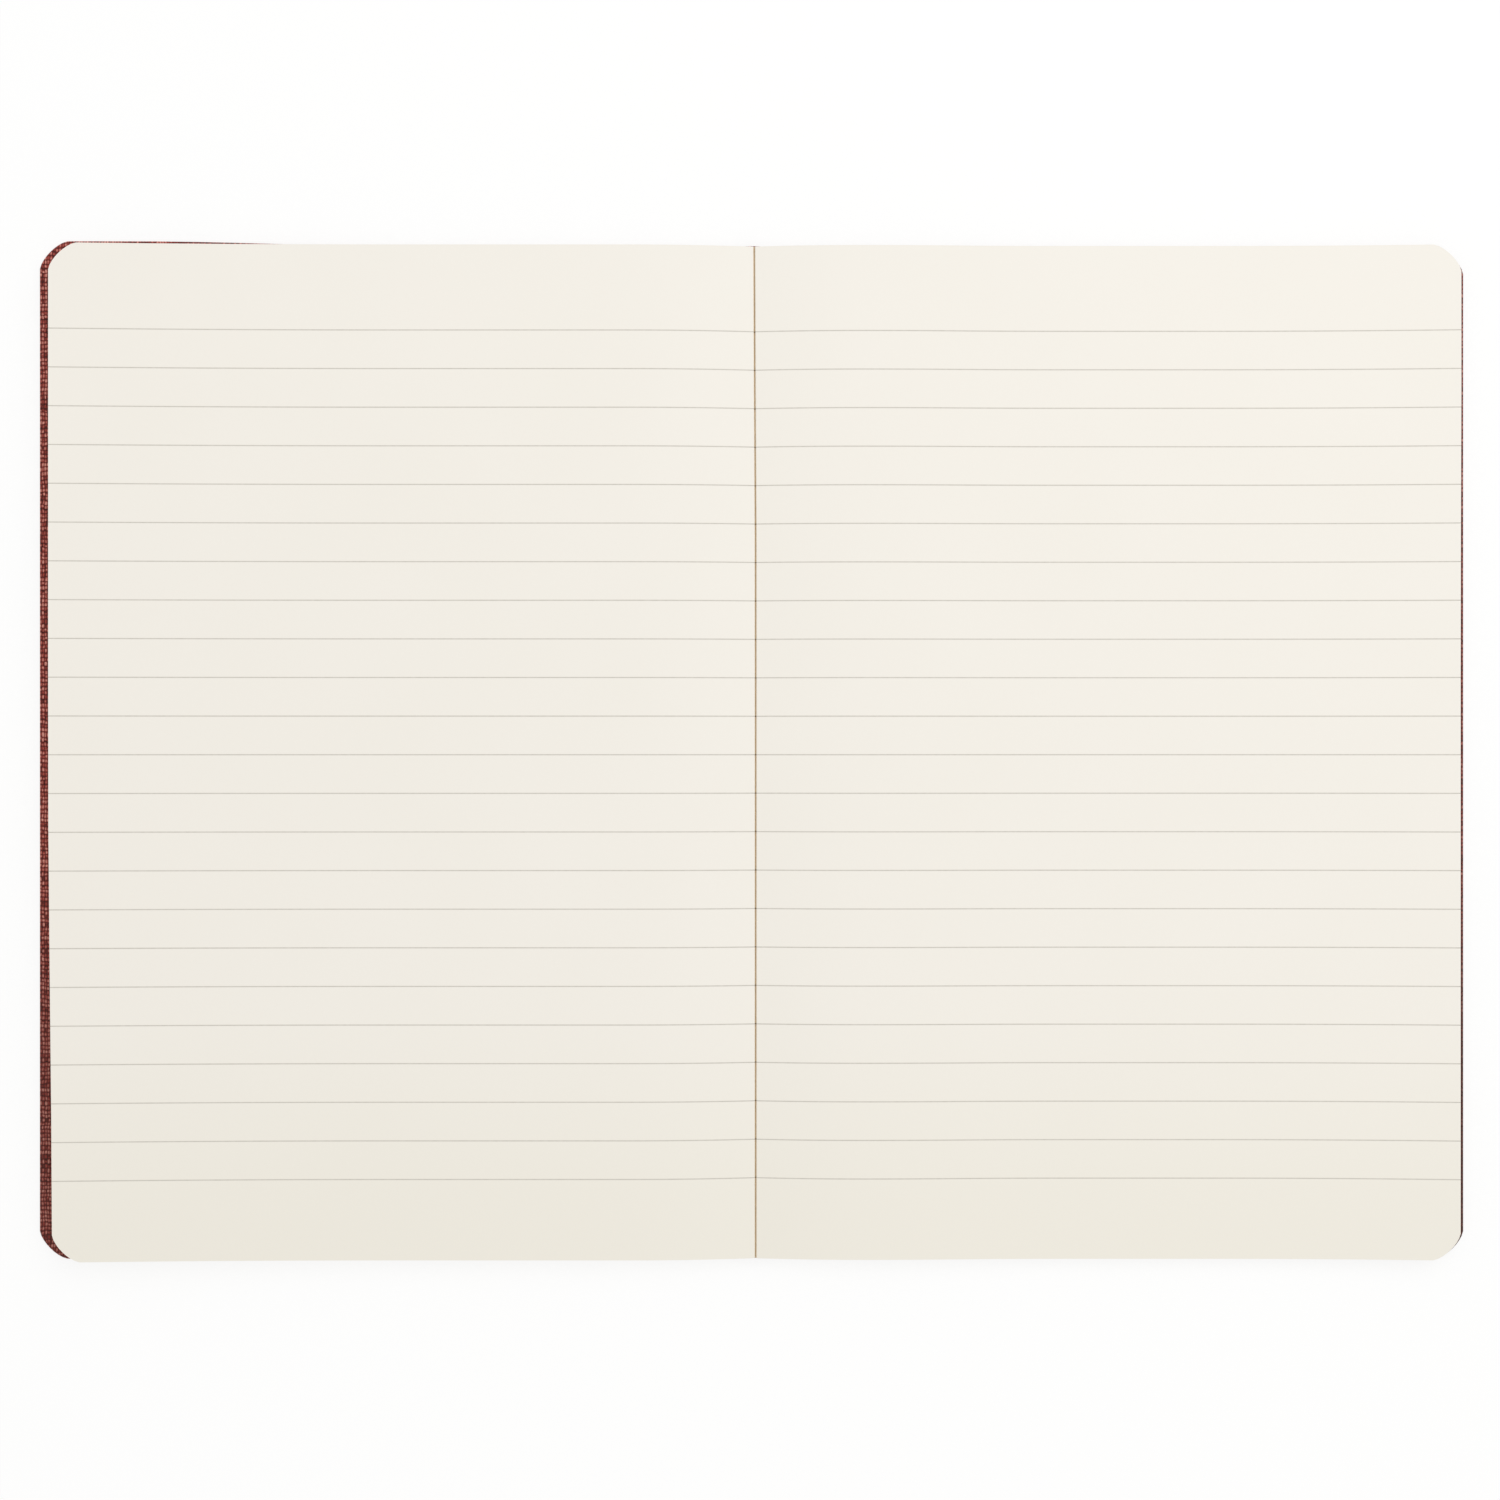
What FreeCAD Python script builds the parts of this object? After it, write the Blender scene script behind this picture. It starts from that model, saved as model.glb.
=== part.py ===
import FreeCAD, Part
import math
import os

import Sketcher
from FreeCAD import Vector

# An open notebook that lies face up on a table: a cloth-covered flexible cover in three
# panels, and a block of ruled leaves that is bound to the spine panel.
# X runs across the spread, Y runs up the page, Z runs up from the table.
# The origin is on the table under the middle of the spine. All sizes are in millimetres.

SIZES = {
    # cover
    "cover_reach": 148.4,  # middle of the spine to a cover's fore edge
    "cover_height": 212.2,
    "cover_thick": 1.0,  # board with its cloth
    "spine_half": 4.0,  # middle of the spine to the line where a cover folds
    "joint_gap": 0.1,  # slit between the spine panel and a cover
    "spine_rise": 0.6,  # how far the open spine arches off the table
    "cover_cut": 5.8,  # length that a rounded corner takes off each edge of a cover
    "cover_round": 8.9,  # radius of that corner
    # block of leaves
    "page_height": 210.0,
    "page_drop": 0.5,  # the block sits this much nearer to the tail
    "page_cut": 5.6,
    "page_round": 8.6,
    "gutter_shift": 0.85,  # the fold between the two pages lies right of the spine's middle
    "left_reach": 145.85,  # gutter to the left fore edge
    "right_reach": 145.95,  # gutter to the right fore edge
    "fore_slant": 0.3,  # the top leaf ends this much short of the bottom leaf
    # heights of the open surface above the inside of the cover
    "gutter_lip": 2.1,
    "crease_deep": 0.7,
    "crease_half": 0.25,
    "left_flat": 4.25,
    "left_curl": 6.55,
    "right_crown": 3.7,
    "right_sag": 2.65,
    "right_curl": 4.55,
    # distances of those heights from the gutter
    "left_shoulder": 26.0,
    "left_curl_start": 75.0,
    "crown_run": 22.0,
    "sag_start": 62.0,
    "sag_end": 96.0,
}
SHEET = "sizes"
FLAT_START = "flat_start"  # an arc that leaves its first point level
FLAT_END = "flat_end"  # an arc that reaches its last point level
LINE = "line"


def terms(text):
    """Splits a sum such as "-cover_reach + cover_cut" into (sign, name, divisor) parts."""
    sign = 1
    parts = []
    for word in text.split():
        if word == "+":
            sign = 1
            continue
        if word == "-":
            sign = -1
            continue
        if word.startswith("-"):
            sign = -sign
            word = word[1:]
        name, _, divisor = word.partition("/")
        parts.append((sign, name, int(divisor or 1)))
        sign = 1
    return parts


def amount(text):
    """The sum as a number, for the place where a shape is first drawn."""
    return sum(sign * SIZES[name] / divisor for sign, name, divisor in terms(text))


def bound(text):
    """The sum as an expression on the sheet."""
    words = [
        f"{'-' if sign < 0 else '+'} {SHEET}.{name} / {divisor}"
        for sign, name, divisor in terms(text)
    ]
    return "0 " + " ".join(words)


def flipped(text):
    """The same sum with every sign turned, for the other side of the spine."""
    return " ".join(
        f"{'-' if sign > 0 else '+'} {name}/{divisor}" for sign, name, divisor in terms(text)
    )


def make_sheet(doc):
    """Puts every driving size in a cell of its own, with its name as alias."""
    sheet = doc.addObject("Spreadsheet::Sheet", SHEET)
    for row, (name, size) in enumerate(SIZES.items(), start=1):
        sheet.set(f"A{row}", name)
        sheet.set(f"B{row}", str(size))
        sheet.setAlias(f"B{row}", name)
    doc.recompute()
    return sheet


def origin_plane(body, role):
    """The body's own origin plane that has this role."""
    return next(f for f in body.Origin.OriginFeatures if f.Role == role)


def new_sketch(body, name, role):
    """An empty sketch on one of the body's origin planes."""
    sketch = body.newObject("Sketcher::SketchObject", name)
    sketch.AttachmentSupport = [(origin_plane(body, role), "")]
    sketch.MapMode = "FlatFace"
    return sketch


def level_centre(flat, other):
    """Centre of the arc that is level at one point and passes through the other."""
    run = other.x - flat.x
    rise = other.y - flat.y
    return Vector(flat.x, flat.y + (run * run + rise * rise) / (2 * rise), 0)


def round_centre(first, last, radius, corner):
    """Centre of the arc of this radius that bulges towards the corner."""
    middle = (first + last) * 0.5
    half = (last - first).Length / 2
    inward = (middle - corner).normalize()
    return middle + inward * math.sqrt(radius * radius - half * half)


def arc_between(first, last, centre):
    """The short arc round the centre between two points, drawn anticlockwise."""
    first_turn = math.atan2(first.y - centre.y, first.x - centre.x)
    last_turn = math.atan2(last.y - centre.y, last.x - centre.x)
    if (last_turn - first_turn) % math.tau > math.pi:
        first_turn, last_turn = last_turn, first_turn
    circle = Part.Circle(centre, Vector(0, 0, 1), (first - centre).Length)
    return Part.ArcOfCircle(circle, first_turn, last_turn)


def draw_outline(sketch, corners, kinds):
    """Draws a closed outline whose corners are bound to the sheet.

    corners holds (x, y) sums; kinds says for each corner how the outline runs on from it:
    LINE, FLAT_START, FLAT_END, or (radius name, corner sums) for a rounded corner.
    """
    points = [Vector(amount(x), amount(y), 0) for x, y in corners]
    count = len(points)
    ends = []
    for index, kind in enumerate(kinds):
        first = points[index]
        last = points[(index + 1) % count]
        if kind == LINE:
            geometry = Part.LineSegment(first, last)
        elif kind == FLAT_START:
            geometry = arc_between(first, last, level_centre(first, last))
        elif kind == FLAT_END:
            geometry = arc_between(first, last, level_centre(last, first))
        else:
            radius, (tip_x, tip_y) = kind
            tip = Vector(amount(tip_x), amount(tip_y), 0)
            centre = round_centre(first, last, SIZES[radius], tip)
            geometry = arc_between(first, last, centre)
        number = sketch.addGeometry(geometry)
        start = sketch.Geometry[number].StartPoint
        in_order = (start - first).Length < (start - last).Length
        ends.append((number, 1, 2) if in_order else (number, 2, 1))
    for index, kind in enumerate(kinds):
        number, first_end, last_end = ends[index]
        next_number, next_first, _ = ends[(index + 1) % count]
        sketch.addConstraint(
            Sketcher.Constraint("Coincident", number, last_end, next_number, next_first)
        )
        for axis, text in zip(("DistanceX", "DistanceY"), corners[index]):
            place_point(sketch, axis, number, first_end, text)
        if kind == FLAT_START:
            sketch.addConstraint(Sketcher.Constraint("Vertical", number, first_end, number, 3))
        elif kind == FLAT_END:
            sketch.addConstraint(Sketcher.Constraint("Vertical", number, last_end, number, 3))
        elif kind != LINE:
            fixed = sketch.addConstraint(
                Sketcher.Constraint("Radius", number, SIZES[kind[0]])
            )
            sketch.setExpression(f"Constraints[{fixed}]", bound(kind[0]))


def place_point(sketch, axis, number, end, text):
    """Fixes one coordinate of a corner, on the axis itself where the sum is empty."""
    if not text:
        line = -2 if axis == "DistanceX" else -1
        sketch.addConstraint(Sketcher.Constraint("PointOnObject", number, end, line))
        return
    fixed = sketch.addConstraint(Sketcher.Constraint(axis, number, end, amount(text)))
    sketch.setExpression(f"Constraints[{fixed}]", bound(text))


def make_cover(doc, label, side):
    """A cover panel: a flat board with two rounded corners at its fore edge."""
    body = doc.addObject("PartDesign::Body", label)
    body.Label = label
    outline = new_sketch(body, label + "_outline", "XY_Plane")
    turn = flipped if side < 0 else str
    head = "cover_height/2"
    tail = "-cover_height/2"
    joint = turn("spine_half")
    fore = turn("cover_reach")
    fore_start = turn("cover_reach - cover_cut")
    corners = [
        (joint, tail),
        (fore_start, tail),
        (fore, tail + " + cover_cut"),
        (fore, head + " - cover_cut"),
        (fore_start, head),
        (joint, head),
    ]
    kinds = [
        LINE,
        ("cover_round", (fore, tail)),
        LINE,
        ("cover_round", (fore, head)),
        LINE,
        LINE,
    ]
    draw_outline(outline, corners, kinds)
    board = body.newObject("PartDesign::Pad", label + "_board")
    board.Profile = outline
    board.setExpression("Length", bound("cover_thick"))
    return body


def arch(height):
    """The three corners of the open spine's arch, left to right, from this height."""
    edge = "spine_half - joint_gap"
    crest = (height + " + spine_rise").removeprefix(" + ")
    return [(flipped(edge), height), ("", crest), (edge, height)]


def make_spine(doc):
    """The spine panel, which arches a little while the notebook lies open."""
    body = doc.addObject("PartDesign::Body", "spine")
    body.Label = "spine"
    section = new_sketch(body, "spine_section", "XZ_Plane")
    corners = arch("") + arch("cover_thick")[::-1]
    kinds = [FLAT_END, FLAT_START, LINE, FLAT_END, FLAT_START, LINE]
    draw_outline(section, corners, kinds)
    strip = body.newObject("PartDesign::Pad", "spine_strip")
    strip.Profile = section
    strip.SideType = "Symmetric"
    strip.setExpression("Length", bound("cover_height"))
    return body


def page_section():
    """The outline of the open block, seen from the tail, and how it runs on from each corner."""
    left_edge = "gutter_shift - left_reach"
    right_edge = "gutter_shift + right_reach"
    inside = "cover_thick + "
    walk = [
        (left_edge, "cover_thick", LINE),
        *[(x, y, kind) for (x, y), kind in zip(arch("cover_thick"), (FLAT_END, FLAT_START, LINE))],
        (right_edge, "cover_thick", LINE),
        (right_edge + " - fore_slant", inside + "right_curl", FLAT_END),
        ("gutter_shift + sag_end", inside + "right_sag", LINE),
        ("gutter_shift + sag_start", inside + "right_sag", FLAT_START),
        (
            "gutter_shift + sag_start/2 + crown_run/2",
            inside + "right_sag/2 + right_crown/2",
            FLAT_END,
        ),
        ("gutter_shift + crown_run", inside + "right_crown", FLAT_START),
        ("gutter_shift + crease_half", inside + "gutter_lip", LINE),
        ("gutter_shift", inside + "gutter_lip - crease_deep", LINE),
        ("gutter_shift - crease_half", inside + "gutter_lip", FLAT_END),
        ("gutter_shift - left_shoulder", inside + "left_flat", LINE),
        ("gutter_shift - left_curl_start", inside + "left_flat", FLAT_START),
        (left_edge + " + fore_slant", inside + "left_curl", LINE),
    ]
    return [(x, y) for x, y, _ in walk], [kind for _, _, kind in walk]


def draw_trim(sketch, edge, outward, level, upward):
    """Draws what the corner cutter takes off one corner of the block."""
    edge_cut = f"{edge} {'-' if outward > 0 else '+'} page_cut"
    edge_past = f"{edge} {'+' if outward > 0 else '-'} page_cut"
    level_cut = f"{level} {'-' if upward > 0 else '+'} page_cut"
    level_past = f"{level} {'+' if upward > 0 else '-'} page_cut"
    corners = [
        (edge_cut, level),
        (edge, level_cut),
        (edge_past, level_cut),
        (edge_past, level_past),
        (edge_cut, level_past),
    ]
    draw_outline(sketch, corners, [("page_round", (edge, level)), LINE, LINE, LINE, LINE])


def make_pages(doc):
    """The block of leaves as it lies open, in one solid, with its four corners trimmed."""
    body = doc.addObject("PartDesign::Body", "pages")
    body.Label = "pages"
    section = new_sketch(body, "pages_section", "XZ_Plane")
    draw_outline(section, *page_section())
    section.setExpression("AttachmentOffset.Base.z", bound("page_drop"))
    block = body.newObject("PartDesign::Pad", "pages_block")
    block.Profile = section
    block.SideType = "Symmetric"
    block.setExpression("Length", bound("page_height"))
    doc.recompute()
    untrimmed = block.Shape.Volume
    trims = new_sketch(body, "pages_trims", "XY_Plane")
    for edge, outward in (("gutter_shift - left_reach", -1), ("gutter_shift + right_reach", 1)):
        for level, upward in (
            ("page_height/2 - page_drop", 1),
            ("-page_height/2 - page_drop", -1),
        ):
            draw_trim(trims, edge, outward, level, upward)
    cutter = body.newObject("PartDesign::Pocket", "pages_corners")
    cutter.Profile = trims
    cutter.Type = "ThroughAll"
    cutter.SideType = "Symmetric"
    doc.recompute()
    if cutter.Shape.Volume >= untrimmed:
        raise RuntimeError("the corner cutter took nothing off the block")
    return body


def check(doc, bodies):
    """Stops the macro if any object failed or any solid is not sound."""
    for item in doc.Objects:
        if "Invalid" in item.State or "Error" in item.State:
            raise RuntimeError(f"{item.Label} failed: {item.State}")
    for body in bodies:
        if body.Shape.isNull() or not body.Shape.isValid() or len(body.Shape.Solids) != 1:
            raise RuntimeError(f"{body.Label} is not one sound solid")


def main():
    doc = FreeCAD.newDocument("notebook")
    make_sheet(doc)
    bodies = [
        make_cover(doc, "front_cover", -1),
        make_cover(doc, "back_cover", 1),
        make_spine(doc),
        make_pages(doc),
    ]
    doc.recompute()
    check(doc, bodies)
    os.makedirs("parts", exist_ok=True)
    for body in bodies:
        body.Shape.exportStep(f"parts/{body.Label}.step")
        box = body.Shape.BoundBox
        print(f"{body.Label}: {body.Shape.Volume:.1f} mm3, {box}")


main()
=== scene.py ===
"""Looks of an open ruled notebook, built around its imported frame.

Two fans of separate leaves meet in a tight gutter. They stand for the solid block of pages.
The cover is board wrapped in woven book cloth: two panels, a spine panel and two cloth hinges.
X runs across the spread, Y up the page and Z up from the table. Sizes are in metres.
"""
from __future__ import annotations

import logging
import math
import random
from dataclasses import dataclass
from enum import Enum
from typing import Any, Callable, Iterable

import bmesh
import bpy
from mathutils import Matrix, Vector

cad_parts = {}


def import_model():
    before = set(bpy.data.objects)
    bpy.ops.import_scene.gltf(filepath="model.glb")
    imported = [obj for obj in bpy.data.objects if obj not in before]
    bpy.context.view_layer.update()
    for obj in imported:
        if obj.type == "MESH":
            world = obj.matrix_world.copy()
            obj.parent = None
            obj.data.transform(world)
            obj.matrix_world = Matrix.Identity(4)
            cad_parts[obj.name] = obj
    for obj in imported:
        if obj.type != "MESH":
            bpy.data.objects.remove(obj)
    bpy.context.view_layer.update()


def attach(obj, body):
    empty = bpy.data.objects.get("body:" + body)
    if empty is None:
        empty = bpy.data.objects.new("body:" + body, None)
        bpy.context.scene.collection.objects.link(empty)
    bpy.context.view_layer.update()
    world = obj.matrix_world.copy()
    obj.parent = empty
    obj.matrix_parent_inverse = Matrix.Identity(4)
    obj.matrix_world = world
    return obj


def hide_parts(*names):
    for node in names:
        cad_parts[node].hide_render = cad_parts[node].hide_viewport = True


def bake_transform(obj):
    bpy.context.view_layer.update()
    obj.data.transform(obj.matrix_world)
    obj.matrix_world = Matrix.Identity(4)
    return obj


LOG = logging.getLogger("notebook")
MM = 0.001
FLAT_ARC_PROFILE = 0.387  # bevel profile of an arc that meets both edges at a slight angle
SAME_POINT = 1e-7
WHITE = (1.0, 1.0, 1.0, 1.0)
GUTTER_X = 0.85 * MM
COVER_THICK = 1.0 * MM
SPINE_HALF = 3.9 * MM
SPINE_RISE = 0.6 * MM
COVER_REACH = 148.4 * MM
COVER_HEIGHT = 212.2 * MM


class Side(Enum):
    """The two sides of the gutter, by their direction along X."""

    LEFT = -1
    RIGHT = 1


class Body(Enum):
    """The bodies of the frame that pieces ride on."""

    BLOCK = "book_block"
    FRONT = "front_cover"
    BACK = "back_cover"


class Slot(Enum):
    """The finishes that the record names."""

    CLOTH = "cover_cloth"
    PAPER = "leaf_paper"


def linear(code: str) -> tuple[float, float, float, float]:
    """Turns an sRGB hex colour into linear light.

    Args:
        code: Six hex digits.

    Returns:
        Red, green, blue and an alpha of 1.
    """
    parts = [int(code[at : at + 2], 16) / 255 for at in (0, 2, 4)]
    red, green, blue = (p / 12.92 if p <= 0.04045 else ((p + 0.055) / 1.055) ** 2.4 for p in parts)
    return red, green, blue, 1.0


def add_node(
    tree: bpy.types.NodeTree, kind: str, inputs: dict[Any, Any] | None = None, **settings: Any
) -> bpy.types.Node:
    """Adds a node with its settings, values and links.

    Args:
        tree: The node tree that gets the node.
        kind: The node's type.
        inputs: For each input, by name or number, its value or the socket it is linked from.
        **settings: Properties of the node.

    Returns:
        The new node.
    """
    node = tree.nodes.new(kind)
    for name, value in settings.items():
        setattr(node, name, value)
    for key, value in (inputs or {}).items():
        if isinstance(value, bpy.types.NodeSocket):
            tree.links.new(value, node.inputs[key])
        else:
            node.inputs[key].default_value = value
    return node


def blank_material(name: str) -> tuple[bpy.types.Material, bpy.types.NodeTree]:
    """A material with an empty node tree."""
    material = bpy.data.materials.new(name)
    material.use_nodes = True
    material.node_tree.nodes.clear()
    return material, material.node_tree


def math_node(tree: bpy.types.NodeTree, operation: str, *values: Any) -> bpy.types.NodeSocket:
    """Adds a Math node.

    Args:
        tree: The node tree that gets the node.
        operation: The sum it does.
        *values: Numbers or sockets, in the order of its inputs.

    Returns:
        The socket with the result.
    """
    inputs = dict(enumerate(values))
    return add_node(tree, "ShaderNodeMath", inputs, operation=operation).outputs[0]


def mix_colours(tree: bpy.types.NodeTree, share: Any, first: Any, second: Any) -> bpy.types.NodeSocket:
    """Adds a colour mix.

    Args:
        tree: The node tree that gets the node.
        share: How much of the second colour there is, as a number or socket.
        first: The colour, or its socket, at a share of 0.
        second: The colour, or its socket, at a share of 1.

    Returns:
        The socket with the mixed colour.
    """
    inputs = {0: share, 6: first, 7: second}
    return add_node(tree, "ShaderNodeMix", inputs, data_type="RGBA").outputs[2]


def ease_between(tree: bpy.types.NodeTree, value: Any, start: float, end: float) -> bpy.types.NodeSocket:
    """Adds a Map Range node that eases from 0 to 1.

    Args:
        tree: The node tree that gets the node.
        value: The socket with the value.
        start: The value at which the result is 0.
        end: The value at which the result is 1.

    Returns:
        The socket with the result.
    """
    inputs = {"Value": value, "From Min": start, "From Max": end}
    return add_node(tree, "ShaderNodeMapRange", inputs, interpolation_type="SMOOTHSTEP").outputs[0]


def noise(
    tree: bpy.types.NodeTree, place: bpy.types.NodeSocket, size: float, detail: float
) -> bpy.types.Node:
    """Adds a Noise Texture node.

    Args:
        tree: The node tree that gets the node.
        place: The socket with the place on the surface.
        size: How large its patches are, in the units of the place.
        detail: How many finer layers it has.

    Returns:
        The node.
    """
    inputs = {"Vector": place, "Scale": 1 / size, "Detail": detail}
    return add_node(tree, "ShaderNodeTexNoise", inputs)


def bumped(
    tree: bpy.types.NodeTree, height: bpy.types.NodeSocket, strength: float, depth: float
) -> bpy.types.NodeSocket:
    """Adds a Bump node.

    Args:
        tree: The node tree that gets the node.
        height: The socket with the relief, from 0 to 1.
        strength: How much of the relief shows.
        depth: What a height of 1 stands for, in metres.

    Returns:
        The socket with the bumped normal.
    """
    inputs = {"Height": height, "Strength": strength, "Distance": depth}
    return add_node(tree, "ShaderNodeBump", inputs).outputs[0]


@dataclass(frozen=True)
class RuledPaper:
    """Uncoated cream writing paper with offset-printed ruling: matt, faintly fibrous."""

    paper: str = "F5F1EB"
    cloud: str = "F3EFE8"  # slightly denser patches of the sheet
    tail_shade: str = "F1EDE4"  # painted shade: the sheet is darker near its tail, where less light falls
    fold: str = "E3D0B2"  # light that has passed between the leaves in the gutter is warmer
    line: str = "C9C4BC"
    # painted shade: the ruling is darker where it runs down into the gutter's crease
    line_in_fold_shade: str = "8C7756"
    tail_shade_start: float = -45 * MM
    tail_shade_end: float = -105 * MM
    first_line: float = 86.8 * MM
    pitch: float = 7.98 * MM
    lines: int = 23
    line_half: float = 0.11 * MM
    line_soft: float = 0.05 * MM
    cloud_size: float = 30 * MM
    fibre_size: float = 0.9 * MM  # real fibres are finer than a pixel, so they are drawn coarser
    fibre_low: float = 0.3
    fibre_high: float = 0.7
    faintest_ink: float = 0.8
    relief: float = 0.12
    relief_depth: float = 0.02 * MM

    def build(self) -> bpy.types.Material:
        """Makes the material of the leaves' two faces."""
        material, tree = blank_material("uncoated_ruled_paper")
        place = add_node(tree, "ShaderNodeTexCoord").outputs["Object"]
        along = add_node(tree, "ShaderNodeSeparateXYZ", {0: place}).outputs["Y"]
        from_first = math_node(tree, "SUBTRACT", along, self.first_line)
        off_line = math_node(tree, "PINGPONG", from_first, self.pitch / 2)
        ink = ease_between(tree, off_line, self.line_half + self.line_soft, self.line_half - self.line_soft)
        span = self.pitch * (self.lines - 1)
        from_middle = math_node(tree, "ADD", from_first, span / 2)
        ruled = math_node(tree, "LESS_THAN", math_node(tree, "ABSOLUTE", from_middle), span / 2 + MM)
        cloud = noise(tree, place, self.cloud_size, detail=3.0).outputs[0]
        fibre = noise(tree, place, self.fibre_size, detail=4.0).outputs[0]
        strength = add_node(
            tree,
            "ShaderNodeMapRange",
            {
                "Value": fibre,
                "From Min": self.fibre_low,
                "From Max": self.fibre_high,
                "To Min": self.faintest_ink,
            },
        ).outputs[0]
        ink = math_node(tree, "MULTIPLY", math_node(tree, "MULTIPLY", ink, ruled), strength)
        sheet = mix_colours(tree, cloud, linear(self.paper), linear(self.cloud))
        # painted shade: the sheet darkens towards its tail, where less light falls
        at_tail = ease_between(tree, along, self.tail_shade_start, self.tail_shade_end)
        sheet = mix_colours(tree, at_tail, sheet, linear(self.tail_shade))
        # painted warm shade in the gutter's crease, read from the leaves' own fold attribute
        in_fold = add_node(tree, "ShaderNodeAttribute", attribute_name="fold").outputs["Fac"]
        sheet = mix_colours(tree, in_fold, sheet, linear(self.fold))
        line = mix_colours(tree, in_fold, linear(self.line), linear(self.line_in_fold_shade))
        colour = mix_colours(tree, ink, sheet, line)
        bump = bumped(tree, fibre, self.relief, self.relief_depth)
        finish_surface(tree, colour, bump, roughness=0.92, specular=0.25)
        return material


@dataclass(frozen=True)
class CutPaper:
    """The guillotined edge of the same paper: a touch darker and rougher than its face."""

    light: str = "EFEAE0"
    dark: str = "D9D2C4"
    fibre_size: float = 0.35 * MM
    relief: float = 0.2
    relief_depth: float = 0.03 * MM

    def build(self) -> bpy.types.Material:
        """Makes the material of the leaves' thin edges."""
        material, tree = blank_material("guillotined_paper_edge")
        place = add_node(tree, "ShaderNodeTexCoord").outputs["Object"]
        fibre = noise(tree, place, self.fibre_size, detail=3.0).outputs[0]
        colour = mix_colours(tree, fibre, linear(self.light), linear(self.dark))
        bump = bumped(tree, fibre, self.relief, self.relief_depth)
        finish_surface(tree, colour, bump, roughness=0.95, specular=0.2)
        return material


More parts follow.
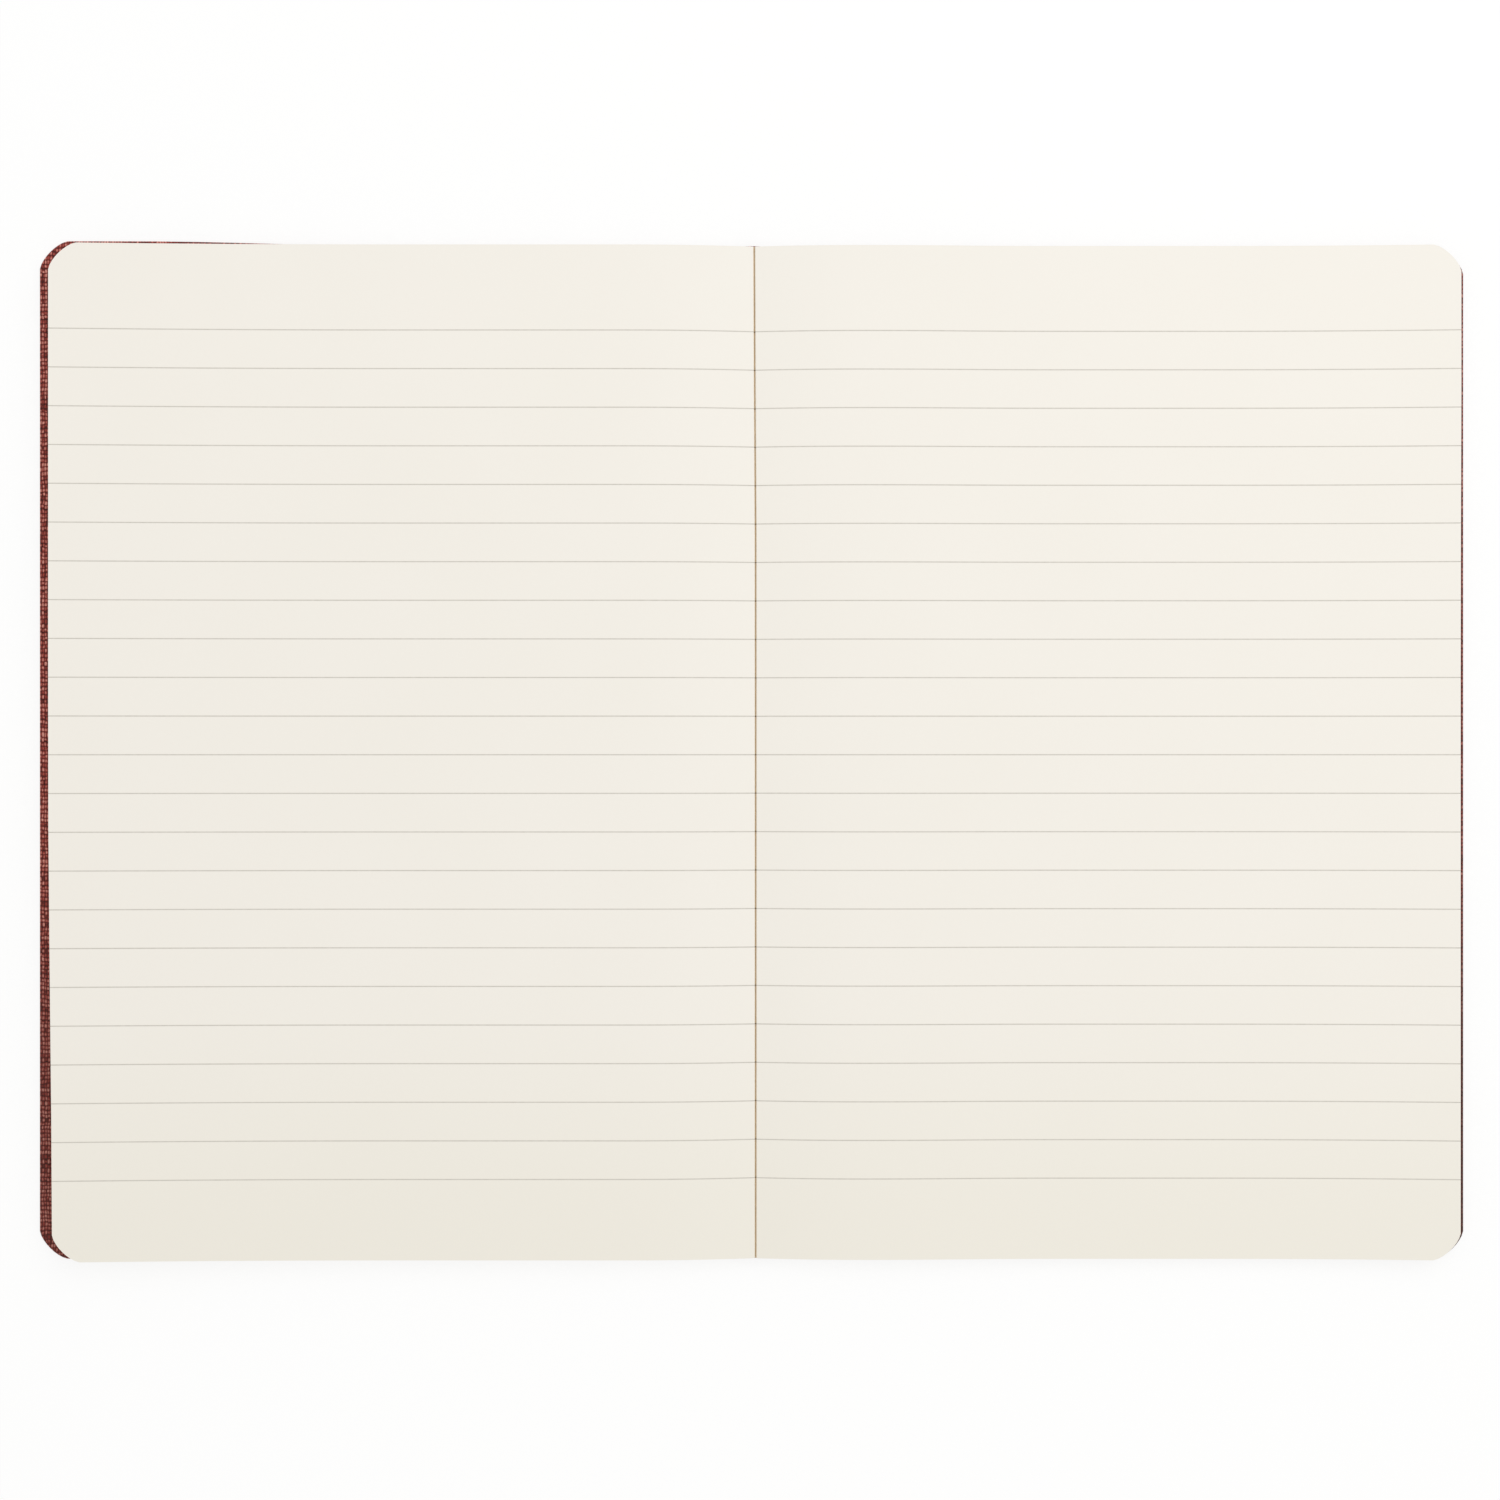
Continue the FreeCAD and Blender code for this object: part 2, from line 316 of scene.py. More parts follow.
@dataclass(frozen=True)
class BookCloth:
    """Plain-woven linen book cloth, dyed dark red: slubby yarns with painted shade in the gaps between
    them, and crowns lighter partly from paler slubs and partly from a painted highlight.
    """

    # painted shade in the gaps between the yarns
    gap: str = "420F0A"
    yarn: str = "A04038"
    # paler slubs and a painted highlight on the yarns' crowns
    fleck_and_highlight: str = "DE998D"
    leaf_edge_shadow: str = "3C1C14"  # painted shadow of the leaves' edges: towards the tail and along the back cover's fore edge
    warp_pitch: float = 0.58 * MM
    weft_pitch: float = 0.88 * MM
    slub_length: float = 5 * MM
    wobble_size: float = 4 * MM
    wobble_threads: float = 1.5  # how far the threads wander from side to side at most, in pitches
    gap_at: float = 0.13
    yarn_at: float = 0.5
    fleck_at: float = 0.95
    least_lift: float = 0.25  # added to each thread's tone, so that the darkest still shows in the weave
    tone_low: float = 0.3
    tone_high: float = 0.72
    tail_start: float = -15 * MM
    tail_end: float = -70 * MM
    tail_share: float = 0.4
    fore_start: float = 135 * MM
    fore_end: float = 146 * MM
    fore_share: float = 0.45
    relief: float = 0.8
    relief_depth: float = 0.15 * MM

    def build(self) -> bpy.types.Material:
        """Makes the material of the cover, which reads the pieces' own UV maps, in metres."""
        material, tree = blank_material("woven_linen_book_cloth")
        place = add_node(tree, "ShaderNodeUVMap", uv_map="cloth").outputs[0]
        drift = noise(tree, place, self.wobble_size, detail=2.0).outputs["Color"]
        offset = add_node(
            tree, "ShaderNodeVectorMath", {0: drift, 1: (0.5, 0.5, 0.5)}, operation="SUBTRACT"
        ).outputs[0]
        amount = (self.warp_pitch * self.wobble_threads, self.weft_pitch * self.wobble_threads, 0)
        shift = add_node(
            tree, "ShaderNodeVectorMath", {0: offset, 1: amount}, operation="MULTIPLY"
        ).outputs[0]
        moved = add_node(tree, "ShaderNodeVectorMath", {0: place, 1: shift}, operation="ADD").outputs[0]
        parts = add_node(tree, "ShaderNodeSeparateXYZ", {0: moved})
        across, along = parts.outputs[0], parts.outputs[1]
        waves = [
            math_node(tree, "SINE", math_node(tree, "MULTIPLY", part, math.pi / pitch))
            for part, pitch in ((across, self.warp_pitch), (along, self.weft_pitch))
        ]
        over = math_node(tree, "MULTIPLY", *waves)
        relief = math_node(tree, "POWER", math_node(tree, "ABSOLUTE", over), 0.5)
        weft = self.thread_tone(tree, moved, self.slub_length, self.weft_pitch)
        warp = self.thread_tone(tree, moved, self.warp_pitch, self.slub_length)
        weft_up = math_node(tree, "GREATER_THAN", over, 0.0)
        tone = add_node(tree, "ShaderNodeMix", {0: weft_up, 2: warp, 3: weft}).outputs[0]
        # the colour follows the weave's height: painted shade in the gaps, painted highlight on the crowns
        lift = math_node(tree, "MULTIPLY", relief, math_node(tree, "ADD", tone, self.least_lift))
        ramp = add_node(tree, "ShaderNodeValToRGB", {0: lift})
        ramp.color_ramp.elements[0].position = self.gap_at
        ramp.color_ramp.elements[0].color = linear(self.gap)
        ramp.color_ramp.elements[1].position = self.fleck_at
        ramp.color_ramp.elements[1].color = linear(self.fleck_and_highlight)
        ramp.color_ramp.elements.new(self.yarn_at).color = linear(self.yarn)
        bump = bumped(tree, lift, self.relief, self.relief_depth)
        # painted shadow of the leaves' edges, towards the tail and along the back cover's fore edge
        colour = mix_colours(tree, self.leaf_edge_shadow_share(tree, place), ramp.outputs[0], linear(self.leaf_edge_shadow))
        finish_surface(tree, colour, bump, roughness=0.85, specular=0.25, sheen=0.25)
        return material

    def leaf_edge_shadow_share(self, tree: bpy.types.NodeTree, place: bpy.types.NodeSocket) -> bpy.types.NodeSocket:
        """How much the painted shadow of the leaves' edges darkens the cloth.

        Args:
            tree: The material's node tree.
            place: The socket with the place on the cloth.

        Returns:
            The socket with a number from 0 to 1.
        """
        parts = add_node(tree, "ShaderNodeSeparateXYZ", {0: place})
        at_tail = ease_between(tree, parts.outputs[1], self.tail_start, self.tail_end)
        at_fore = ease_between(tree, parts.outputs[0], self.fore_start, self.fore_end)
        from_tail = math_node(tree, "MULTIPLY", at_tail, self.tail_share)
        from_fore = math_node(tree, "MULTIPLY", at_fore, self.fore_share)
        return math_node(tree, "ADD", from_tail, from_fore)

    def thread_tone(
        self, tree: bpy.types.NodeTree, place: bpy.types.NodeSocket, along: float, across: float
    ) -> bpy.types.NodeSocket:
        """How light each thread is, changing slowly along it and quickly from thread to thread.

        Args:
            tree: The material's node tree.
            place: The socket with the place on the cloth.
            along: Length of a slub along U.
            across: Length of a slub along V.

        Returns:
            The socket with a number from 0 to 1.
        """
        scaled = add_node(
            tree, "ShaderNodeVectorMath", {0: place, 1: (1 / along, 1 / across, 1)}, operation="MULTIPLY"
        ).outputs[0]
        slubs = noise(tree, scaled, 1.0, detail=1.0).outputs[0]
        inputs = {"Value": slubs, "From Min": self.tone_low, "From Max": self.tone_high}
        return add_node(tree, "ShaderNodeMapRange", inputs).outputs[0]


def finish_surface(
    tree: bpy.types.NodeTree,
    colour: bpy.types.NodeSocket,
    bump: bpy.types.NodeSocket,
    roughness: float,
    specular: float,
    sheen: float = 0.0,
) -> None:
    """Adds the shader and the output to a material.

    Args:
        tree: The material's node tree.
        colour: The socket with the base colour.
        bump: The socket with the bumped normal.
        roughness: The shader's roughness.
        specular: The shader's specular level.
        sheen: How much soft light the fibres catch at a low angle.
    """
    shader = add_node(
        tree,
        "ShaderNodeBsdfPrincipled",
        {
            "Base Color": colour,
            "Normal": bump,
            "Roughness": roughness,
            "Specular IOR Level": specular,
            "Sheen Weight": sheen,
        },
    )
    add_node(tree, "ShaderNodeOutputMaterial", {"Surface": shader.outputs[0]})


def level_arc(
    distance: float, flat_at: float, flat_height: float, far_at: float, far_height: float
) -> float:
    """Height of a round arc that is level at one end.

    Args:
        distance: Where the height is wanted.
        flat_at: Distance of the level end.
        flat_height: Height of the level end.
        far_at: Distance of the other end.
        far_height: Height of the other end.

    Returns:
        The height, in metres.
    """
    rise = far_height - flat_height
    run = far_at - flat_at
    radius = (run * run + rise * rise) / (2 * abs(rise))
    offset = min(abs(distance - flat_at), radius)
    return flat_height + math.copysign(radius - math.sqrt(radius * radius - offset * offset), rise)


def spine_top(x: float) -> float:
    """Height of the cover's inside at this place across the spread."""
    if abs(x) >= SPINE_HALF:
        return COVER_THICK
    crest = COVER_THICK + SPINE_RISE
    return level_arc(abs(x), 0.0, crest, SPINE_HALF, COVER_THICK)


def smooth_step(value: float) -> float:
    """Eases from 0 to 1 between 0 and 1."""
    held = min(max(value, 0.0), 1.0)
    return held * held * (3 - 2 * held)


def new_piece(
    name: str, mesh: bmesh.types.BMesh, materials: Iterable[bpy.types.Material]
) -> bpy.types.Object:
    """Makes an object at the origin from a finished mesh.

    Args:
        name: The piece's name.
        mesh: Its shape, which is freed here.
        materials: Its materials, in the order of the faces' numbers.

    Returns:
        The new object.
    """
    data = bpy.data.meshes.new(name)
    mesh.to_mesh(data)
    mesh.free()
    for material in materials:
        data.materials.append(material)
    piece = bpy.data.objects.new(name, data)
    bpy.context.scene.collection.objects.link(piece)
    return piece


def cut_across(mesh: bmesh.types.BMesh, places: Iterable[float], axis: int) -> None:
    """Cuts every face at these places along one axis.

    Args:
        mesh: The mesh to cut.
        places: Where the cuts are.
        axis: 0 for X or 1 for Y.
    """
    normal = Vector((axis == 0, axis == 1, 0))
    for place in places:
        geometry = mesh.verts[:] + mesh.edges[:] + mesh.faces[:]
        bmesh.ops.bisect_plane(
            mesh, geom=geometry, dist=SAME_POINT, plane_co=normal * place, plane_no=normal
        )


def rounded_board(
    near: float, far: float, tail: float, head: float, cut: float = 0.0
) -> bmesh.types.BMesh:
    """A flat face, with rounded corners at its far edge if they take anything off.

    Args:
        near: X of the edge with square corners.
        far: X of the edge opposite.
        tail: Y of the lower edge.
        head: Y of the upper edge.
        cut: Length that a rounded corner takes off each edge, or 0 for square corners.

    Returns:
        A mesh of one face, level with the table.
    """
    mesh = bmesh.new()
    bmesh.ops.create_grid(mesh, x_segments=1, y_segments=1, size=0.5)
    bmesh.ops.scale(mesh, verts=mesh.verts[:], vec=(abs(far - near), head - tail, 1))
    middle = Vector(((near + far) / 2, (tail + head) / 2, 0))
    bmesh.ops.translate(mesh, verts=mesh.verts[:], vec=middle)
    if cut > 0:
        corners = [v for v in mesh.verts if abs(v.co.x - far) < SAME_POINT]
        bmesh.ops.bevel(
            mesh,
            geom=corners,
            offset=cut,
            offset_type="OFFSET",
            segments=8,
            profile=FLAT_ARC_PROFILE,
            affect="VERTICES",
            material=-1,
        )
    return mesh


def thicken(mesh: bmesh.types.BMesh, thickness: float) -> None:
    """Extrudes flat faces straight up into a closed board.

    Args:
        mesh: Level faces.
        thickness: How far they are extruded.
    """
    made = bmesh.ops.extrude_face_region(mesh, geom=mesh.faces[:], use_keep_orig=True)
    raised = [item for item in made["geom"] if isinstance(item, bmesh.types.BMVert)]
    bmesh.ops.translate(mesh, verts=raised, vec=(0, 0, thickness))
    bmesh.ops.recalc_face_normals(mesh, faces=mesh.faces[:])


def lay_cloth(mesh: bmesh.types.BMesh) -> None:
    """Lays a UV map in metres over a board, so that the weave follows it round its edges."""
    layer = mesh.loops.layers.uv.new("cloth")
    for face in mesh.faces:
        turned_x = abs(face.normal.x) > max(abs(face.normal.z), abs(face.normal.y))
        turned_y = abs(face.normal.y) > max(abs(face.normal.z), abs(face.normal.x))
        for loop in face.loops:
            x, y, z = loop.vert.co
            loop[layer].uv = (x + z if turned_x else x, y + z if turned_y else y)


@dataclass(frozen=True)
class Span:
    """One stretch of the open page's height, as a round arc that is level at one end."""

    end: float  # distance from the gutter up to which it is used, and further if it is the last
    flat_at: float
    flat_height: float
    far_at: float
    far_height: float

    def height(self, distance: float) -> float:
        """Height above the inside of the cover at this distance from the gutter."""
        if abs(self.flat_height - self.far_height) < SAME_POINT:
            return self.flat_height
        return level_arc(distance, self.flat_at, self.flat_height, self.far_at, self.far_height)


@dataclass
class LeafStack:
    """The leaves on one side of the gutter, from the cover up to the open page."""

    side: Side
    count: int
    reach: float
    root_reach: float  # from the gutter to where the leaves' roots begin, next to the cover
    spans: tuple[Span, ...]
    seed: int
    skew: float  # how far the open page's fore edge moves in, lower down
    skew_start: float  # Y where it starts to move in
    skew_end: float
    leaf_thick: float = 0.08 * MM
    fore_slant: float = 0.3 * MM  # how much shorter the open page reaches than the leaf by the cover
    gutter_lip: float = 2.1 * MM  # the open page's height where it turns down into the crease
    crease_deep: float = 0.7 * MM
    crease_half: float = 0.25 * MM
    root_zone: float = 8.0 * MM  # length of a leaf that stretches or shrinks to end at its own root
    fan_start: float = 98.0 * MM  # from the gutter, where the leaves begin to part unevenly
    head: float = 104.5 * MM
    tail: float = -105.5 * MM
    gutter_drift: float = 0.3 * MM  # how far the fold leans to the left at its head
    drift_reach: float = 60 * MM  # from the gutter, where that lean has died away
    corner_cut: float = 5.6 * MM
    rows: int = 7
    fold_start: float = 0.06 * MM  # from a leaf's root, where the painted warm shade of the fold starts to fade
    fold_end: float = 0.24 * MM
    least_gap: float = 0.62  # the height that a leaf takes at its fore edge, as a share of an even one
    most_gap: float = 1.38
    most_trim: float = 0.08 * MM
    most_drop: float = 0.05 * MM

    def surface(self, distance: float) -> float:
        """Height of the open page above the inside of the cover."""
        if distance < self.crease_half:
            return self.gutter_lip - self.crease_deep * (1 - distance / self.crease_half)
        span = next((s for s in self.spans if distance <= s.end), self.spans[-1])
        return span.height(distance)

    def flat_leaf(self) -> bpy.types.Mesh:
        """One leaf lying flat, its fore edge at X 0 and its root on the plus side.

        Returns:
            A mesh with its faces in material 0 and its cut edges in material 1.
        """
        mesh = rounded_board(self.reach, 0.0, self.tail, self.head, self.corner_cut)
        near_root = [0.12, 0.26, 0.34, 0.5, 0.8, 1.2, 1.7, 2.4, 3.2, 4.2, 5.5, 7.0]
        steps = [self.reach - step * MM for step in near_root]
        outer = [3.0, 5.6, 9.0, 13.0, 18.0, 24.0, 31.0, 39.0, 47.0, 55.0, 63.0, 71.0, 79.0, 87.0]
        inner = [95.0, 102.0, 108.0, 114.0, 119.0, 123.0, 127.0, 130.5, 133.5, 136.0]
        steps += [step * MM for step in outer + inner]
        cut_across(mesh, steps, 0)
        height = self.head - self.tail
        lines = [self.tail + height * row / self.rows for row in range(1, self.rows)]
        cut_across(mesh, lines, 1)
        thicken(mesh, self.leaf_thick)
        for face in mesh.faces:
            is_edge = abs(face.normal.z) < 0.5
            face.material_index = int(is_edge)
            face.smooth = not is_edge
            if is_edge:
                for edge in face.edges:
                    edge.smooth = False
        fold = mesh.verts.layers.float.new("fold")
        for vertex in mesh.verts:
            from_root = self.reach - vertex.co.x
            faded = (from_root - self.fold_start) / (self.fold_end - self.fold_start)
            vertex[fold] = 1 - smooth_step(faded)
        leaf = bpy.data.meshes.new("flat_leaf")
        mesh.to_mesh(leaf)
        mesh.free()
        return leaf

    def uneven(self, dice: random.Random) -> list[float]:
        """How the leaves share the height at the fore edge, where they part unevenly.

        Args:
            dice: The source of random numbers.

        Returns:
            For each leaf, its place in the stack, from 0 to the number of leaves.
        """
        gaps = [dice.uniform(self.least_gap, self.most_gap) for _ in range(self.count)]
        scale = self.count / sum(gaps)
        places = []
        total = 0.0
        for gap in gaps:
            total += gap * scale
            places.append(total)
        return places

    def bend(self, number: int, fore: float, at_tail: float, at_head: float) -> Callable[[Vector], Vector]:
        """The shape of one leaf as a change of place.

        Args:
            number: The leaf's number, with 0 next to the cover.
            fore: Distance from the gutter to the leaf's fore edge.
            at_tail: The leaf's place in the stack at the fore edge's tail.
            at_head: The same at its head.

        Returns:
            A function from a place on the flat leaf to its place in the open notebook.
        """
        root = self.root_reach * (1 - (number + 1) / self.count)
        straight = self.reach - self.root_zone
        level = (number + 0.5) / self.count

        def move(flat: Vector) -> Vector:
            """Moves one point of the flat leaf."""
            share = (flat.y - self.tail) / (self.head - self.tail)
            lower = (flat.y - self.skew_start) / (self.skew_end - self.skew_start)
            inwards = self.skew * level * level * smooth_step(lower)
            start = fore - straight
            if flat.x <= straight:
                distance = fore - flat.x - inwards * (1 - flat.x / straight)
            else:
                distance = start + (root - start) * (flat.x - straight) / self.root_zone
            parted = smooth_step((distance - self.fan_start) / (self.reach - self.fan_start))
            even = number + 1
            uneven = at_tail + (at_head - at_tail) * share
            # Leaves lower down whose roots lie further out take no height here.
            missing = max(0.0, self.count * (1 - distance / self.root_reach) - 1)
            place = even + (uneven - even) * parted - missing
            part = place / (self.count - missing)
            x = GUTTER_X + self.side.value * distance
            lean = smooth_step((flat.y - self.head / 3) / (self.head * 2 / 3))
            x -= self.gutter_drift * lean * smooth_step(1 - distance / self.drift_reach)
            floor = spine_top(x)
            top = COVER_THICK + self.surface(distance)
            level_top = floor + part * (top - floor)
            return Vector((x, flat.y, level_top + flat.z - self.leaf_thick))

        return move

    def add_to(self, mesh: bmesh.types.BMesh) -> None:
        """Adds the bent leaves to a mesh.

        Args:
            mesh: The mesh that gets them.
        """
        leaf = self.flat_leaf()
        dice = random.Random(self.seed)
        tails = self.uneven(dice)
        heads = self.uneven(dice)
        for number in range(self.count):
            before = len(mesh.verts)
            mesh.from_mesh(leaf)
            mesh.verts.ensure_lookup_table()
            slant = self.fore_slant * (number + 0.5) / self.count
            trim = slant + dice.uniform(0, self.most_trim)
            shift = dice.uniform(-self.most_drop, 0)
            move = self.bend(number, self.reach - trim, tails[number], heads[number])
            for vertex in mesh.verts[before:]:
                vertex.co = move(vertex.co)
                vertex.co.y += shift * math.copysign(1, vertex.co.y)
        bpy.data.meshes.remove(leaf)


@dataclass
class Leaves:
    """All the leaves of the open notebook."""

    paper: bpy.types.Material
    edge: bpy.types.Material

    def left(self) -> LeafStack:
        """The leaves that lie on the front cover, and curl up towards their fore edge."""
        crease_end = LeafStack.crease_half
        flat_start = 26 * MM
        curl_start = 75 * MM
        curl_end = 145.55 * MM
        lip = LeafStack.gutter_lip
        flat = 4.25 * MM
        curl = 6.55 * MM
        spans = (
            Span(flat_start, flat_start, flat, crease_end, lip),
            Span(curl_start, flat_start, flat, curl_start, flat),
            Span(curl_end, curl_start, flat, curl_end, curl),
        )
        return LeafStack(
            Side.LEFT,
            count=40,
            reach=145.85 * MM,
            root_reach=4.75 * MM,
            spans=spans,
            seed=11,
            skew=0.8 * MM,
            skew_start=0.0,
            skew_end=-105.5 * MM,
        )

    def right(self) -> LeafStack:
        """The leaves that lie on the back cover: a crown by the gutter, then a sag and a curl."""
        crease_end = LeafStack.crease_half
        crown_at = 22 * MM
        turn_at = 42 * MM
        sag_start = 62 * MM
        curl_start = 96 * MM
        curl_end = 145.65 * MM
        lip = LeafStack.gutter_lip
        crown = 3.7 * MM
        sag = 2.65 * MM
        curl = 4.55 * MM
        half_way = (crown + sag) / 2
        spans = (
            Span(crown_at, crown_at, crown, crease_end, lip),
            Span(turn_at, crown_at, crown, turn_at, half_way),
            Span(sag_start, sag_start, sag, turn_at, half_way),
            Span(curl_start, sag_start, sag, curl_start, sag),
            Span(curl_end, curl_start, sag, curl_end, curl),
        )
        return LeafStack(
            Side.RIGHT,
            count=28,
            reach=146.1 * MM,
            root_reach=3.05 * MM,
            spans=spans,
            seed=23,
            skew=0.15 * MM,
            skew_start=75 * MM,
            skew_end=25 * MM,
        )

    def build(self) -> bpy.types.Object:
        """Makes the leaves, which stand for the solid block.

        Returns:
            The finished piece.
        """
        mesh = bmesh.new()
        for stack in (self.left(), self.right()):
            stack.add_to(mesh)
        bmesh.ops.recalc_face_normals(mesh, faces=mesh.faces[:])
        piece = new_piece("ruled_leaves", mesh, (self.paper, self.edge))
        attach(piece, Body.BLOCK.value)
        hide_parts("pages")
        return piece


@dataclass
class Cover:
    """The flexible cover: board wrapped in cloth, in panels that fold beside the spine."""

    cloth: bpy.types.Material
    corner_cut: float = 5.8 * MM
    edge_round: float = 0.36 * MM
    panel_gap: float = 0.45 * MM  # from the fold line to a panel's own edge
    fold_x: float = 4.0 * MM
    hinge_half: float = 1.5 * MM
    hinge_thick: float = 0.45 * MM
    hinge_under: float = 0.06 * MM  # from the table up to the hinge cloth
    hinge_short: float = 0.1 * MM  # how far the hinge cloth ends before the panels do
    panel_cuts: range = range(12, 148, 8)  # in mm, so that a panel's head and tail edges can curve
    head_lower: float = 1.15 * MM  # how far the head edge draws in, away from the front cover's corner
    head_start: float = 20 * MM  # from the front cover's fore edge, where that starts
    head_length: float = 60 * MM
    tail_higher: float = 0.5 * MM  # the same at the tail, in full over the half nearer the spine

    def soften(self, mesh: bmesh.types.BMesh) -> None:
        """Rounds the edges between a board's faces and its rim."""
        rim = [
            edge
            for edge in mesh.edges
            if len(edge.link_faces) == 2
            and abs(abs(edge.link_faces[0].normal.z) - abs(edge.link_faces[1].normal.z)) > 0.5
        ]
        bmesh.ops.bevel(
            mesh,
            geom=rim,
            offset=self.edge_round,
            segments=4,
            profile=0.5,
            affect="EDGES",
            material=-1,
        )

    def draw_in(self, mesh: bmesh.types.BMesh) -> None:
        """Draws the head and tail edges in a little behind the leaves, as on a trimmed cover."""
        for vertex in mesh.verts:
            level = vertex.co.y / (COVER_HEIGHT / 2)
            if level > 0:
                from_fore = vertex.co.x + COVER_REACH
                share = smooth_step((from_fore - self.head_start) / self.head_length)
                vertex.co.y -= self.head_lower * share * level
            else:
                share = smooth_step(2 - 2 * abs(vertex.co.x) / COVER_REACH)
                vertex.co.y -= self.tail_higher * share * level

    def finish(self, name: str, mesh: bmesh.types.BMesh) -> bpy.types.Object:
        """Lays the cloth on a board and makes it a piece.

        Args:
            name: The piece's name.
            mesh: The board.

        Returns:
            The piece, with smooth faces.
        """
        self.draw_in(mesh)
        lay_cloth(mesh)
        for face in mesh.faces:
            face.smooth = True
        piece = new_piece(name, mesh, (self.cloth,))
        return piece

    def panel(self, side: Side, body: Body) -> bpy.types.Object:
        """Makes one cover panel.

        Args:
            side: The side of the spine it lies on.
            body: The body it rides on and the node it stands for.

        Returns:
            The finished piece.
        """
        near = side.value * (self.fold_x + self.panel_gap)
        far = side.value * COVER_REACH
        mesh = rounded_board(near, far, -COVER_HEIGHT / 2, COVER_HEIGHT / 2, self.corner_cut)
        thicken(mesh, COVER_THICK)
        self.soften(mesh)
        cut_across(mesh, [side.value * cut * MM for cut in self.panel_cuts], 0)
        piece = self.finish(body.value + "_cloth_panel", mesh)
        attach(piece, body.value)
        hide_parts(body.value)
        return piece

    def spine(self) -> bpy.types.Object:
        """Makes the spine panel, which arches a little under the gutter."""
        half = self.fold_x - self.panel_gap
        mesh = rounded_board(-half, half, -COVER_HEIGHT / 2, COVER_HEIGHT / 2)
        steps = [half * step / 6 for step in range(-5, 6)]
        thicken(mesh, COVER_THICK)
        self.soften(mesh)
        cut_across(mesh, steps, 0)
        for vertex in mesh.verts:
            vertex.co.z += spine_top(vertex.co.x) - COVER_THICK
        piece = self.finish("spine_cloth_panel", mesh)
        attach(piece, Body.BLOCK.value)
        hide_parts("spine")
        return piece

    def hinge(self, side: Side, body: Body) -> bpy.types.Object:
        """Makes the cloth that bends between the spine panel and a cover.

        Args:
            side: The side of the spine it lies on.
            body: The cover's body.

        Returns:
            The finished piece.
        """
        fold = side.value * self.fold_x
        near = fold - side.value * self.hinge_half
        far = fold + side.value * self.hinge_half
        edge = COVER_HEIGHT / 2 - self.hinge_short
        mesh = rounded_board(near, far, -edge, edge)
        steps = [fold + self.hinge_half * step / 10 for step in range(-9, 10)]
        cut_across(mesh, steps, 0)
        thicken(mesh, self.hinge_thick)
        for vertex in mesh.verts:
            vertex.co.z += self.hinge_under + spine_top(vertex.co.x) - COVER_THICK
        piece = self.finish(body.value + "_hinge_cloth", mesh)
        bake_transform(piece)
        return piece

    def build(self) -> list[bpy.types.Object]:
        """Makes every piece of the cover.

        Returns:
            The finished pieces.
        """
        pieces = [self.spine()]
        for side, body in ((Side.LEFT, Body.FRONT), (Side.RIGHT, Body.BACK)):
            pieces.append(self.panel(side, body))
            pieces.append(self.hinge(side, body))
        return pieces


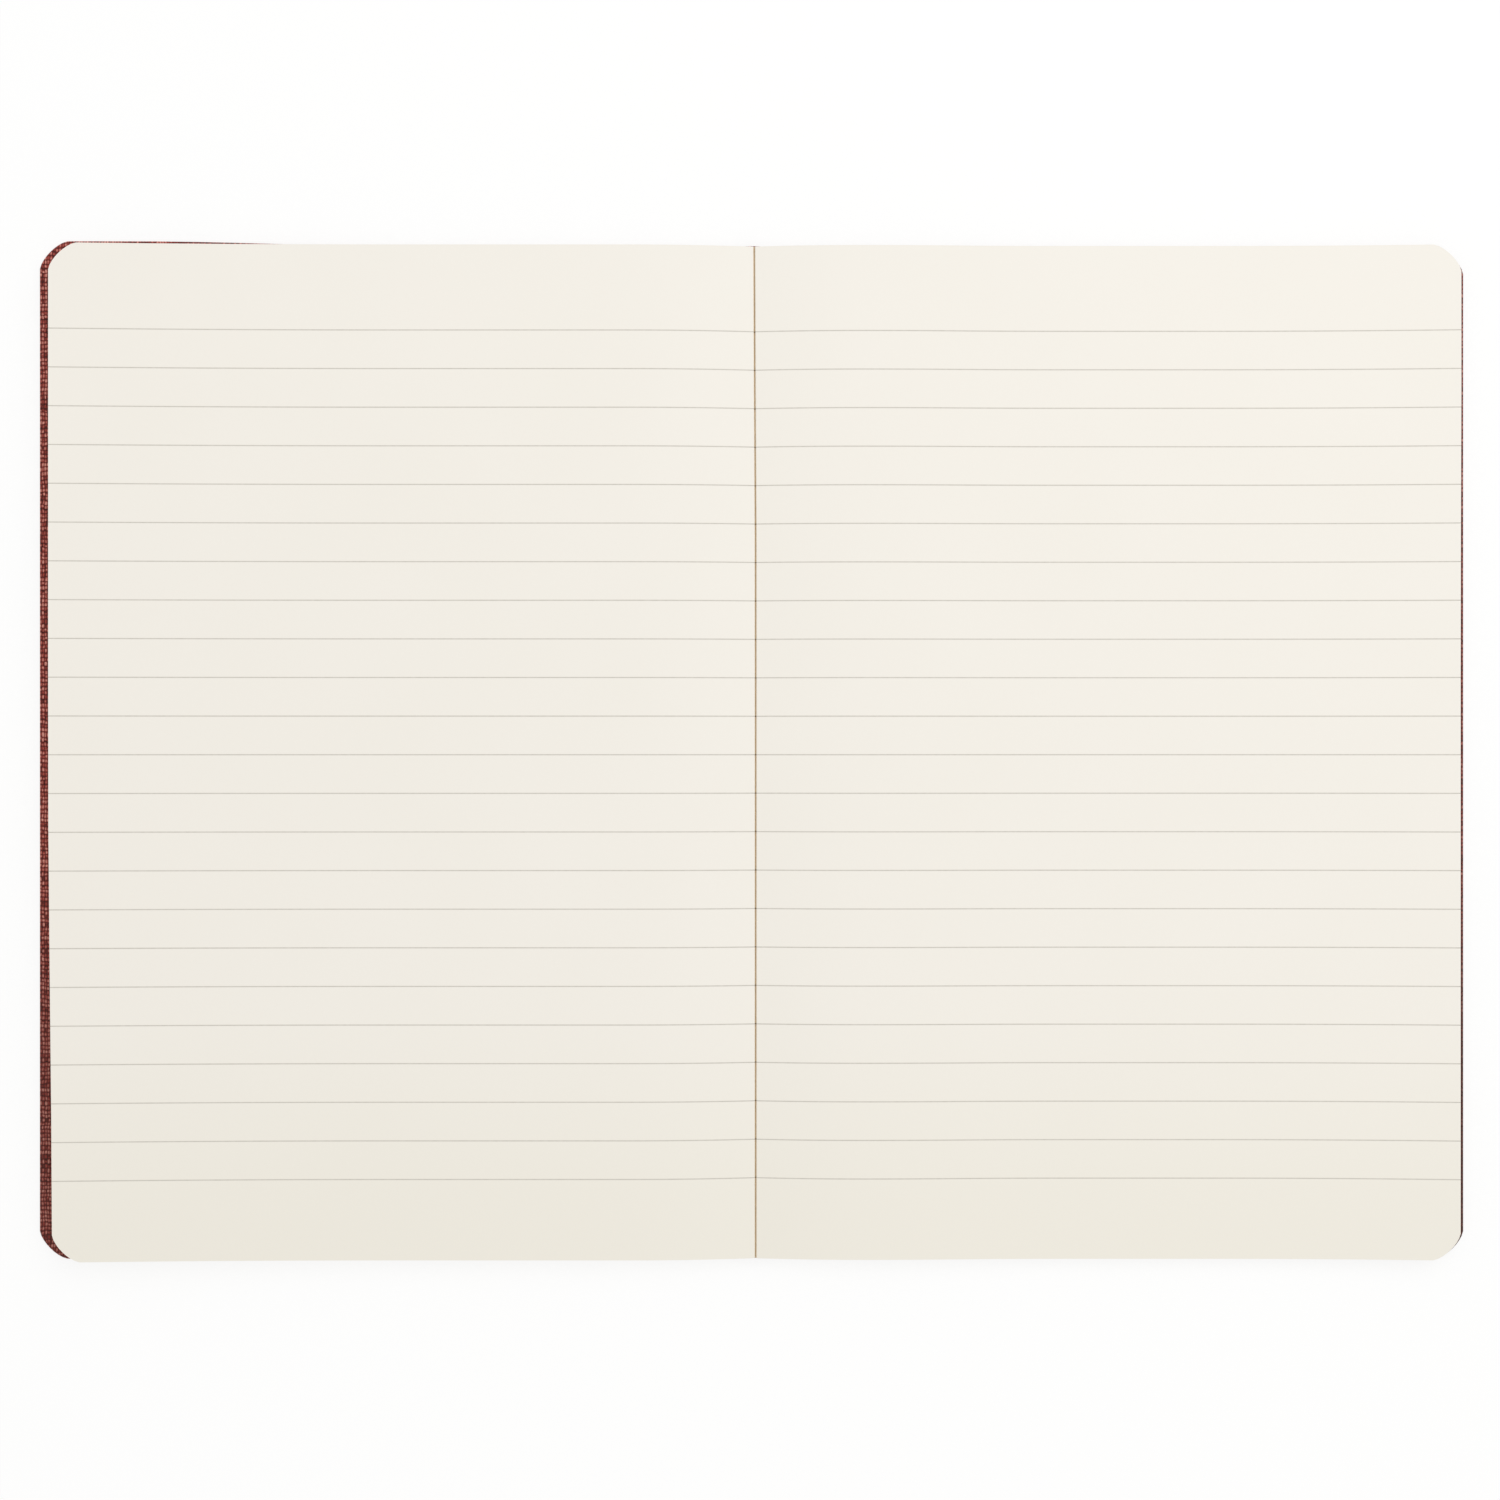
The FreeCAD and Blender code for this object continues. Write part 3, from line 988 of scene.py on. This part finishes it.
@dataclass
class Studio:
    """The table, the light and the camera."""

    page_level: float = 5.25 * MM
    camera_above: float = 500 * MM
    view_width: float = 309.98 * MM
    sensor: float = 36.0  # in mm
    camera_x: float = -0.32 * MM
    floor_size: float = 6.0
    white_share: float = 0.82  # how much of the floor's look is plain white, and the rest takes shadow
    fill_colour: str = "FFFEFA"
    fill_strength: float = 0.775
    lamp_width: float = 0.9
    lamp_depth: float = 0.6
    lamp_energy: float = 3.0
    lamp_colour: tuple[float, float, float] = (0.975, 0.985, 1.0)
    lamp_place: tuple[float, float, float] = (0.35, 0.45, 0.8)

    def camera(self) -> None:
        """Makes the camera, which looks straight down from above the spine."""
        data = bpy.data.cameras.new("camera")
        data.sensor_width = self.sensor
        data.lens = self.sensor * self.camera_above / self.view_width
        data.clip_start = 0.01
        camera = bpy.data.objects.new("camera", data)
        camera.location = (self.camera_x, 0, self.page_level + self.camera_above)
        bpy.context.scene.collection.objects.link(camera)
        bpy.context.scene.camera = camera

    def floor(self) -> None:
        """Makes a pale floor that looks white to the camera and keeps the object's shadow."""
        mesh = bmesh.new()
        bmesh.ops.create_grid(mesh, x_segments=1, y_segments=1, size=self.floor_size / 2)
        material, tree = blank_material("white_table_lacquer")
        matt = add_node(tree, "ShaderNodeBsdfDiffuse", {"Color": WHITE}).outputs[0]
        white = add_node(tree, "ShaderNodeEmission", {"Strength": 1.0}).outputs[0]
        share = math_node(tree, "MULTIPLY", self.seen_directly(tree), self.white_share)
        surface = add_node(tree, "ShaderNodeMixShader", {0: share, 1: matt, 2: white}).outputs[0]
        add_node(tree, "ShaderNodeOutputMaterial", {"Surface": surface})
        new_piece("floor", mesh, (material,))

    def seen_directly(self, tree: bpy.types.NodeTree) -> bpy.types.NodeSocket:
        """1 for rays from the camera and for reflections and refractions of them."""
        path = add_node(tree, "ShaderNodeLightPath")
        straight = path.outputs["Is Camera Ray"]
        mirrored = math_node(tree, "MAXIMUM", straight, path.outputs["Is Glossy Ray"])
        return math_node(tree, "MAXIMUM", mirrored, path.outputs["Is Transmission Ray"])

    def world(self) -> None:
        """Fills the room with soft light, with a white background."""
        world = bpy.data.worlds.new("room")
        world.use_nodes = True
        tree = world.node_tree
        tree.nodes.clear()
        soft = {"Color": linear(self.fill_colour), "Strength": self.fill_strength}
        fill = add_node(tree, "ShaderNodeBackground", soft).outputs[0]
        white = add_node(tree, "ShaderNodeBackground", {"Strength": 1.0}).outputs[0]
        parts = {0: self.seen_directly(tree), 1: fill, 2: white}
        surface = add_node(tree, "ShaderNodeMixShader", parts).outputs[0]
        add_node(tree, "ShaderNodeOutputWorld", {"Surface": surface})
        bpy.context.scene.world = world

    def lamp(self) -> None:
        """Hangs one broad lamp beyond the head, to the right."""
        data = bpy.data.lights.new("soft_box", "AREA")
        data.shape = "RECTANGLE"
        data.size = self.lamp_width
        data.size_y = self.lamp_depth
        data.energy = self.lamp_energy
        data.color = self.lamp_colour
        lamp = bpy.data.objects.new("soft_box", data)
        lamp.location = self.lamp_place
        lamp.rotation_euler = lamp.location.to_track_quat("Z", "Y").to_euler()
        bpy.context.scene.collection.objects.link(lamp)

    def build(self) -> None:
        """Makes the whole studio."""
        self.camera()
        self.floor()
        self.world()
        self.lamp()


def main() -> None:
    """Builds the notebook and its studio around the frame."""
    logging.basicConfig(level=logging.INFO, format="%(name)s: %(message)s")
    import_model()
    Studio().build()
    pieces = Cover(BookCloth().build()).build()
    pieces.append(Leaves(RuledPaper().build(), CutPaper().build()).build())
    for piece in pieces:
        LOG.info("%s: %d faces", piece.name, len(piece.data.polygons))
    bpy.context.scene.view_settings.view_transform = "Standard"


if __name__ == "__main__":
    main()
